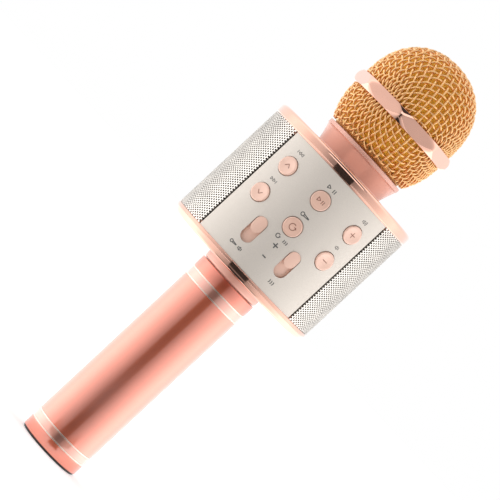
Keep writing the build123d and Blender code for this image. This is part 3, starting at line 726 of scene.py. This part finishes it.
def make_panel_print():
    """The pictograms printed beside each control, where a maker would print its words."""
    lift = 0.02

    def on_panel(x, y):
        """The place on the curved panel of a length round it and a height."""
        return polar(PANEL_RADIUS + lift, degrees(x / PANEL_RADIUS), y)

    side = PANEL_RADIUS * radians(BUTTON_COLUMNS[2])
    slider = PANEL_RADIUS * asin(SLIDER_X / PANEL_RADIUS)
    previous = triangle(-1) + moved(triangle(-1), 1.4, 0) + bar(-1.1)
    following = moved(triangle(1), -1.4, 0) + triangle(1) + bar(1.1)
    play = moved(triangle(1), -1.7, 0) + bar(0.2) + bar(0.9)
    # Faint print over the outer buttons, strong print in the middle, and signs by the sliders.
    marks = moved(previous, -side - 0.6, 172.0, 1.15)
    marks += moved(following, -side + 0.6, 155.6, 1.15)
    marks += moved(loudspeaker(2), side, 171.9, 1.1)
    marks += moved(loudspeaker(1), side, 155.6, 1.1)
    strong = moved(play, 0.6, 171.2, 1.35)
    strong += moved(microphone_sign(), 0.2, 154.9, 1.5)
    strong += moved(loop_arrow(), -1.6, 140.7, 1.0) + moved(echo_waves(), 2.6, 140.7, 1.0)
    low = moved(microphone_sign(), -slider - 2.2, 124.6, 1.2)
    low += moved(loudspeaker(1), -slider + 2.4, 124.6, 1.1)
    low += moved(echo_waves(), slider + 0.6, 124.6, 1.2)
    signs = [[(-0.5, 136.9), (2.3, 136.9)], [(0.9, 135.5), (0.9, 138.3)], [(-0.1, 130.1), (1.9, 130.1)]]
    wrapped("print_faint", marks, 0.28, PRINT, on_panel, "microphone")
    wrapped("print_strong", strong + low, 0.42, PRINT, on_panel, "microphone")
    wrapped("print_signs", signs, 0.6, PRINT, on_panel, "microphone")


def make_button_marks():
    """The engraved sign on each button, following its dished face."""
    signs = {
        "previous": moved(chevron(1), 0, 0.2, 1.3),
        "next": moved(chevron(-1), 0, -0.2, 1.3),
        "play": moved(triangle(1), -0.9, 0, 1.5) + moved(bar(0), 0.9, 0, 1.4) + moved(bar(0), 1.8, 0, 1.4),
        "replay": moved(loop_arrow(), 0, 0, 1.6),
        "volume_up": [[(-1.4, 0), (1.4, 0)], [(0, -1.4), (0, 1.4)]],
        "volume_down": [[(-1.4, 0), (1.4, 0)]],
    }
    names = (("previous", "next"), ("play", "replay"), ("volume_up", "volume_down"))
    centre = BUTTON_FACE - DISH_DEPTH + DISH_RADIUS
    lift = 0.015
    for angle, column in zip(BUTTON_COLUMNS, names):
        for height, name in zip(BUTTON_ROWS, column):
            place = facing(angle, height)

            def on_dish(x, y, place=place):
                """The place on a button's dish, from the button's middle."""
                depth = centre - sqrt(DISH_RADIUS ** 2 - x * x - y * y)
                return place @ Vector((x, y, depth + lift))

            body = "button_" + name
            wrapped("sign_" + name, signs[name], 0.38, ENGRAVING, on_dish, body)


# ------------------------------------------------------------------ neck and ring
def make_neck():
    """The flared neck collar with its rim and its screwed top."""
    low = DRUM_HIGH
    rim_low = NECK_RIM - NECK_RIM_HEIGHT
    waist = (NECK_WAIST_RADIUS, low + 0.8)
    flare = (NECK_RIM_RADIUS - 0.4, rim_low)
    outline = [(NECK_PASSAGE, NECK_LOW), (NECK_BORE, NECK_LOW), (NECK_BORE, low)]
    outline += [(NECK_WAIST_RADIUS + 0.4, low), (NECK_WAIST_RADIUS + 0.35, low + 0.3)]
    outline += arc(waist, (NECK_WAIST_RADIUS + 0.9, low + 4.4), flare, 16)
    outline += rounded([
        (*flare, 0), (NECK_RIM_RADIUS, rim_low + 0.35, 0.2), (NECK_RIM_RADIUS, NECK_RIM, 0.3),
        (THREAD_RADIUS, NECK_RIM, 0), (THREAD_RADIUS, THREAD_HIGH, 0.2),
        (NECK_WELL_RADIUS, THREAD_HIGH, 0), (NECK_WELL_RADIUS, low + NECK_FLOOR, 0),
        (NECK_PASSAGE, low + NECK_FLOOR, 0),
    ])[1:]
    neck = lathe("neck_flare", outline, [SATIN])
    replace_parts(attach(neck, "microphone"), "neck_collar")


def ring_reach(angle, height):
    """The ring's radius at an angle and a height from its middle, its edges softly polished.

    The flats and the bevel are blended by a high power, which is exact away from the edges.
    """
    slope = (RING_RADIUS - RING_EDGE_RADIUS) / ((RING_HIGH - RING_LOW) / 2 - RING_BAND / 2)
    bevel = RING_RADIUS - slope * (abs(height) - RING_BAND / 2)
    apothem = RING_RADIUS * cos(pi / RING_SIDES)
    total = bevel ** -RING_CRISPNESS
    for side in range(RING_SIDES):
        facing_angle = (side + 0.5) * 360 / RING_SIDES
        share = cos(radians(angle - facing_angle)) / apothem
        total += max(share, 0.0) ** RING_CRISPNESS
    return total ** (-1 / RING_CRISPNESS)


def make_ring():
    """The eight-sided ring: flats that taper towards the rounded corners between the bevels."""
    middle = (RING_LOW + RING_HIGH) / 2
    rise = (RING_HIGH - RING_LOW) / 2
    steps = 36
    columns = 360
    lip_height, lip_depth = 0.12, 0.25
    rows = [rise * (2 * step / steps - 1) for step in range(steps + 1)]
    bm = bmesh.new()
    grid = []
    for column in range(columns):
        angle = 360 * column / columns
        outline = [(RING_BORE, -rise)]
        outline.append((ring_reach(angle, -rise) - lip_depth, -rise))
        levels = [-rise + lip_height] + rows[1:-1] + [rise - lip_height]
        outline += [(ring_reach(angle, z), z) for z in levels]
        outline.append((ring_reach(angle, rise) - lip_depth, rise))
        outline.append((RING_BORE, rise))
        turned = RING_TURN + angle
        grid.append([bm.verts.new(polar(r, turned, middle + z)) for r, z in outline])
    for first, second in zip(grid, grid[1:] + grid[:1]):
        for k in range(len(first)):
            ahead = (k + 1) % len(first)
            bm.faces.new([first[k], second[k], second[ahead], first[ahead]])
    ring = finish_mesh(bm, "faceted_ring", [PLATED], crease=40)
    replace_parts(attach(ring, "grille_head"), "grille_ring")


# ------------------------------------------------------------------ woven head
def pressed_net(step, limit):
    """Crossings of square wire cloth pressed over a unit ball, for one quarter of it.

    Each crossing is one step from the two before it, which is how woven wire forms a ball without
    stretching. Crossings further than the limit from the pole are left out.
    """
    net = {(0, 0): Vector((0, 0, 1))}
    count = int(2 * pi / step)
    for i in range(count):
        for j in range(count):
            if (i, j) in net:
                continue
            if i == 0 or j == 0:
                turn = step * max(i, j)
                point = Vector((sin(turn) if j == 0 else 0, sin(turn) if i == 0 else 0, cos(turn)))
            else:
                a, b = net.get((i - 1, j)), net.get((i, j - 1))
                if a is None or b is None:
                    continue
                shared = 1 + a.dot(b)
                along = cos(step) / shared
                rest = 1 - 2 * along * along * shared
                if rest <= 0:
                    continue
                across = a.cross(b)
                across *= sqrt(rest) / across.length
                corner = net[i - 1, j - 1]
                point = max(
                    ((a + b) * along + across, (a + b) * along - across),
                    key=lambda candidate: (candidate - corner).length,
                )
            if acos(max(-1, min(1, point.z))) < limit:
                net[i, j] = point
    return net


def wire_runs(net, along_x):
    """Each wire's crossings in order, as (parity, points), over all four quarters."""
    size = max(max(key) for key in net)
    for j in range(-size, size + 1):
        wire = []
        for i in range(-size, size + 1):
            key = (abs(i), abs(j)) if along_x else (abs(j), abs(i))
            if key not in net:
                continue
            point = net[key]
            signs = (i, j) if along_x else (j, i)
            x = point.x if signs[0] >= 0 else -point.x
            y = point.y if signs[1] >= 0 else -point.y
            wire.append((i, Vector((x, y, point.z))))
        if len(wire) > 1:
            yield j, wire


def weave(name, node, to_surface, allowed, net, spin):
    """Crimped wires in two families, laid on a surface where it allows them."""
    samples = 7
    sides = 8
    turned = Matrix.Rotation(radians(spin), 3, "Z")
    for family, along_x in (("warp", True), ("weft", False)):
        points, faces = [], []
        for j, wire in wire_runs(net, along_x):
            track = []
            for (i, start), (_, end) in zip(wire, wire[1:]):
                for step in range(samples):
                    share = step / samples
                    sign = 1 if along_x else -1
                    lift = sign * cos(pi * (i + j + share)) * WIRE_RADIUS
                    track.append((turned @ start.lerp(end, share).normalized(), lift))
            run = []
            for direction, lift in track + [(None, 0)]:
                if direction is not None and allowed(direction):
                    run.append(to_surface(direction, lift))
                    continue
                if len(run) > 3:
                    add_wire(points, faces, run, sides)
                run = []
        mesh = bpy.data.meshes.new(f"{name}_{family}")
        mesh.from_pydata(points, [], faces)
        mesh.polygons.foreach_set("use_smooth", [True] * len(faces))
        mesh.materials.append(WIRE)
        piece = bpy.data.objects.new(f"{name}_{family}", mesh)
        bpy.context.scene.collection.objects.link(piece)
        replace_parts(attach(piece, "grille_head"), node)


def add_wire(points, faces, run, sides):
    """Adds a round wire through (point, normal) samples."""
    first = len(points)
    for index, (point, normal) in enumerate(run):
        before = run[max(index - 1, 0)][0]
        after = run[min(index + 1, len(run) - 1)][0]
        along = (after - before).normalized()
        side = along.cross(normal).normalized()
        outward = side.cross(along)
        for k in range(sides):
            turn = 2 * pi * k / sides
            spoke = side * cos(turn) + outward * sin(turn)
            points.append(tuple((point + spoke * WIRE_RADIUS) * MM))
    for index in range(len(run) - 1):
        for k in range(sides):
            ahead = (k + 1) % sides
            low = first + index * sides
            faces.append((low + k, low + ahead, low + sides + ahead, low + sides + k))
    faces.append(tuple(range(first + sides - 1, first - 1, -1)))
    last = first + (len(run) - 1) * sides
    faces.append(tuple(range(last, last + sides)))


def dome_place(direction, inset):
    """The point and normal of the dome, moved inwards, in a direction from its centre."""
    across = HEAD_RADIUS - inset
    rise = HEAD_HIGH - DOME_LOW - inset
    level = hypot(direction.x, direction.y)
    up = max(direction.z, 0.0)
    size = ((level / across) ** DOME_POWER + (up / rise) ** DOME_POWER) ** (-1 / DOME_POWER)
    outward = (level / across) ** (DOME_POWER - 1) / across / max(level, 1e-9)
    normal = Vector((
        direction.x * outward, direction.y * outward, (up / rise) ** (DOME_POWER - 1) / rise
    )).normalized()
    return direction * size + Vector((0, 0, DOME_LOW)), normal


def belly_place(level, drop, inset):
    """The point and normal of the basket, a length below its widest height."""
    slope = drop / BELLY_RADIUS
    normal = level * cos(slope) - Vector((0, 0, sin(slope)))
    centre = level * (HEAD_RADIUS - BELLY_RADIUS) + Vector((0, 0, BELLY_HEIGHT))
    return centre + normal * (BELLY_RADIUS - inset), normal


def make_head_mesh():
    """The domed mesh above the ring and the basket below it."""
    depth = 2 * WIRE_RADIUS
    middle = HEAD_RADIUS - depth
    net = pressed_net(WIRE_PITCH / middle, pi * 0.62)
    tuck = 0.2

    def lowered(direction):
        """How far a direction lies past the ball's equator, as a length along its surface."""
        return (acos(max(-1, min(1, direction.z))) - pi / 2) * middle

    def level_of(direction):
        """The level direction below or above a direction."""
        return Vector((direction.x, direction.y, 0)).normalized()

    def on_dome(direction, lift):
        """The point and normal of the dome's cloth, straight below its curve."""
        past = lowered(direction)
        if past > 0:
            level = level_of(direction)
            return level * (middle + lift) + Vector((0, 0, DOME_LOW - past)), level
        point, normal = dome_place(direction, depth)
        return point + normal * lift, normal

    def on_basket(direction, lift):
        """The point and normal of the basket's cloth, straight above its curve."""
        drop = -lowered(direction)
        level = level_of(direction)
        if drop > 0:
            point, normal = belly_place(level, drop, depth)
            return point + normal * lift, normal
        return level * (middle + lift) + Vector((0, 0, BELLY_HEIGHT - drop)), level

    dome_end = DOME_LOW - RING_HIGH + tuck
    basket_start = BELLY_HEIGHT - RING_LOW - tuck
    basket_end = BELLY_RADIUS * asin((BELLY_HEIGHT - HEAD_LOW - WIRE_RADIUS) / BELLY_RADIUS)
    weave("dome", "grille_dome", on_dome, lambda d: lowered(d) < dome_end, net, MESH_TURN)
    weave(
        "basket", "grille_basket", on_basket,
        lambda d: basket_start < -lowered(d) < basket_end, net, MESH_TURN,
    )


def make_foam():
    """The foam liner: a dome with a thin skirt outside the threaded ring."""
    low = heights("foam_liner")[0]
    clearance = 0.8
    ledge = heights("grille_thread_ring")[1] + clearance
    belly_steps, side_steps, dome_steps = 24, 12, 60

    def wall(inset, start):
        """The liner's curve at an inset, from a height up to the pole."""
        first = BELLY_RADIUS * asin((BELLY_HEIGHT - start) / (BELLY_RADIUS - inset))
        front = Vector((1, 0, 0))
        points = [
            belly_place(front, first * (1 - step / belly_steps), inset)[0]
            for step in range(belly_steps + 1)
        ]
        rise = DOME_LOW - BELLY_HEIGHT
        points += [
            Vector((HEAD_RADIUS - inset, 0, BELLY_HEIGHT + rise * step / side_steps))
            for step in range(1, side_steps)
        ]
        turns = [pi / 2 * step / dome_steps for step in range(dome_steps + 1)]
        points += [dome_place(Vector((cos(turn), 0, sin(turn))), inset)[0] for turn in turns]
        points[-1].x = 0.0
        return [(point.x, point.z) for point in points]

    outside = wall(FOAM_INSET, low)
    inside = wall(FOAM_INSET + FOAM_WALL, ledge)
    skirt = [(inside[0][0], ledge), (FOAM_SKIRT_BORE, ledge), (FOAM_SKIRT_BORE, low)]
    liner = lathe("foam_windscreen", outside + inside[:0:-1] + skirt, [FOAM], segments=240)
    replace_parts(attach(liner, "foam_liner"), "foam_liner")


# ------------------------------------------------------------------ stage
def reflected(name, quads, material):
    """A sheet of four-cornered (distance, angle, height) faces that shows only in reflections."""
    corners, faces = [], []
    for quad in quads:
        faces.append(tuple(range(len(corners), len(corners) + 4)))
        corners += [polar(distance, CAMERA_AZIMUTH + angle, height) for distance, angle, height in quad]
    mesh = bpy.data.meshes.new(name)
    mesh.from_pydata(corners, [], faces)
    mesh.materials.append(material)
    sheet = bpy.data.objects.new(name, mesh)
    bpy.context.scene.collection.objects.link(sheet)
    for ray in ("camera", "diffuse", "transmission", "volume_scatter", "shadow"):
        setattr(sheet, "visible_" + ray, False)


def by_angle(tree, source):
    """A ramp of the room's light by the angle of a direction or place from the camera's side."""
    nodes, link = tree.nodes, tree.links.new
    mapping = nodes.new("ShaderNodeMapping")
    mapping.inputs["Rotation"].default_value = (0, 0, radians(-CAMERA_AZIMUTH))
    link(source, mapping.inputs["Vector"])
    parts = nodes.new("ShaderNodeSeparateXYZ")
    link(mapping.outputs["Vector"], parts.inputs[0])
    turn = nodes.new("ShaderNodeMath")
    turn.operation = "ARCTAN2"
    link(parts.outputs["X"], turn.inputs[0])
    link(parts.outputs["Y"], turn.inputs[1])
    size = nodes.new("ShaderNodeMath")
    size.operation = "ABSOLUTE"
    link(turn.outputs[0], size.inputs[0])
    share = nodes.new("ShaderNodeMath")
    share.operation = "DIVIDE"
    share.inputs[1].default_value = pi
    link(size.outputs[0], share.inputs[0])
    ramp = nodes.new("ShaderNodeValToRGB")
    elements = ramp.color_ramp.elements
    while len(elements) < len(SURROUND):
        elements.new(0.5)
    # The arctangent is 0 behind the microphone, so the levels are set in reverse.
    for element, (angle, level) in zip(elements, reversed(SURROUND)):
        element.position = 1 - angle / 180
        part = level / SURROUND_STRENGTH
        element.color = (part, part, part, 1)
    link(share.outputs[0], ramp.inputs["Fac"])
    return ramp.outputs["Color"]


def make_surround():
    """A white room that grows brighter to the sides and behind, and pure white to the eye."""
    world = bpy.data.worlds.new("studio")
    bpy.context.scene.world = world
    world.use_nodes = True
    tree = world.node_tree
    nodes, link = tree.nodes, tree.links.new
    background = nodes["Background"]
    background.inputs["Strength"].default_value = SURROUND_STRENGTH
    coordinates = nodes.new("ShaderNodeTexCoord")
    path = nodes.new("ShaderNodeLightPath")
    mix = nodes.new("ShaderNodeMix")
    mix.data_type = "RGBA"
    link(path.outputs["Is Camera Ray"], mix.inputs["Factor"])
    link(by_angle(tree, coordinates.outputs["Generated"]), mix.inputs["A"])
    white = 1 / SURROUND_STRENGTH
    mix.inputs["B"].default_value = (white, white, white, 1)
    link(mix.outputs["Result"], background.inputs["Color"])


def make_stage():
    """A pale floor under the microphone, and the room it reflects."""
    floor_size = 8.0
    bpy.ops.mesh.primitive_plane_add(size=floor_size, location=(0, 0, 0))
    floor = bpy.context.object
    floor.name = "floor"
    white = Shader("floor_white", (0.9, 0.9, 0.9), roughness=0.9, Emission_Strength=0.3)
    white.set("Emission Color", (1, 1, 1, 1))
    floor.data.materials.append(white.material)

    glow = Shader("floor_glow", (0, 0, 0), roughness=1.0, Emission_Strength=FLOOR_GLOW_STRENGTH)
    glow.link(by_angle(glow.tree, glow.place), glow.surface, "Emission Color")
    near, far, lift, sector = 0.06, 3.0, 0.0005, 10
    reflected("floor_glow", [
        ((near, turn, lift), (far, turn, lift), (far, end, lift), (near, end, lift))
        for turn, end in zip(range(0, 360, sector), range(sector, 361, sector))
    ], glow.material)

    def panels(places):
        """The sheet's faces, from half an angle and the distance and height of two edges each."""
        return [
            ((r0, -half, z0), (r1, -half, z1), (r1, half, z1), (r0, half, z0))
            for half, r0, z0, r1, z1 in places
        ]

    dark = Shader("gap_black", (GAP_SHADE, GAP_SHADE, GAP_SHADE), roughness=1.0)
    reflected("light_gap", panels(GAPS), dark.material)
    bright = Shader("window_white", (0, 0, 0), roughness=1.0, Emission_Strength=WINDOW_STRENGTH)
    bright.set("Emission Color", (1, 1, 1, 1))
    reflected("light_window", panels([WINDOW]), bright.material)
    make_surround()


def make_camera():
    """The camera, slightly left of the panel's centre, rolled so that the microphone leans."""
    out = Vector((sin(radians(CAMERA_AZIMUTH)), -cos(radians(CAMERA_AZIMUTH)), 0))
    right = Vector((cos(radians(CAMERA_AZIMUTH)), sin(radians(CAMERA_AZIMUTH)), 0))
    eye = out * CAMERA_DISTANCE + Vector((0, 0, CAMERA_HEIGHT))
    target = right * AIM_RIGHT + Vector((0, 0, AIM_HEIGHT))
    forward = (target - eye).normalized()
    level = forward.cross(Vector((0, 0, 1))).normalized()
    upright = level.cross(forward)
    lean = radians(LEAN)
    up = upright * cos(lean) - level * sin(lean)
    across = level * cos(lean) + upright * sin(lean)
    data = bpy.data.cameras.new("camera")
    data.sensor_width = 36.0
    data.lens = 18.0 / tan(radians(FIELD_OF_VIEW) / 2)
    data.clip_end = 50.0
    camera = bpy.data.objects.new("camera", data)
    bpy.context.scene.collection.objects.link(camera)
    turn = Matrix((across, up, -forward)).transposed().to_4x4()
    camera.matrix_world = Matrix.Translation(eye * MM) @ turn
    bpy.context.scene.camera = camera


# Each CAD node takes the material of its slot, and shows where no piece replaces it.
for entry in frame["record"]["subparts"]:
    node = frame["nodes"][entry["node"]]
    node.data.materials.clear()
    node.data.materials.append(SLOT_MATERIALS[entry["material_slot"]])

make_camera()
make_stage()
make_handle()
make_drum_cap("drum_cap_bottom", "bottom_end_cap", DRUM_LOW, PANEL_LOW)
make_drum_cap("drum_cap_top", "top_end_cap", DRUM_HIGH, PANEL_HIGH)
make_perforated_grille("grille_sheet_left", "speaker_grille_left", -90)
make_perforated_grille("grille_sheet_right", "speaker_grille_right", 90)
make_panel_print()
make_button_marks()
make_neck()
make_ring()
make_head_mesh()
make_foam()

bpy.context.scene.view_settings.view_transform = "Standard"
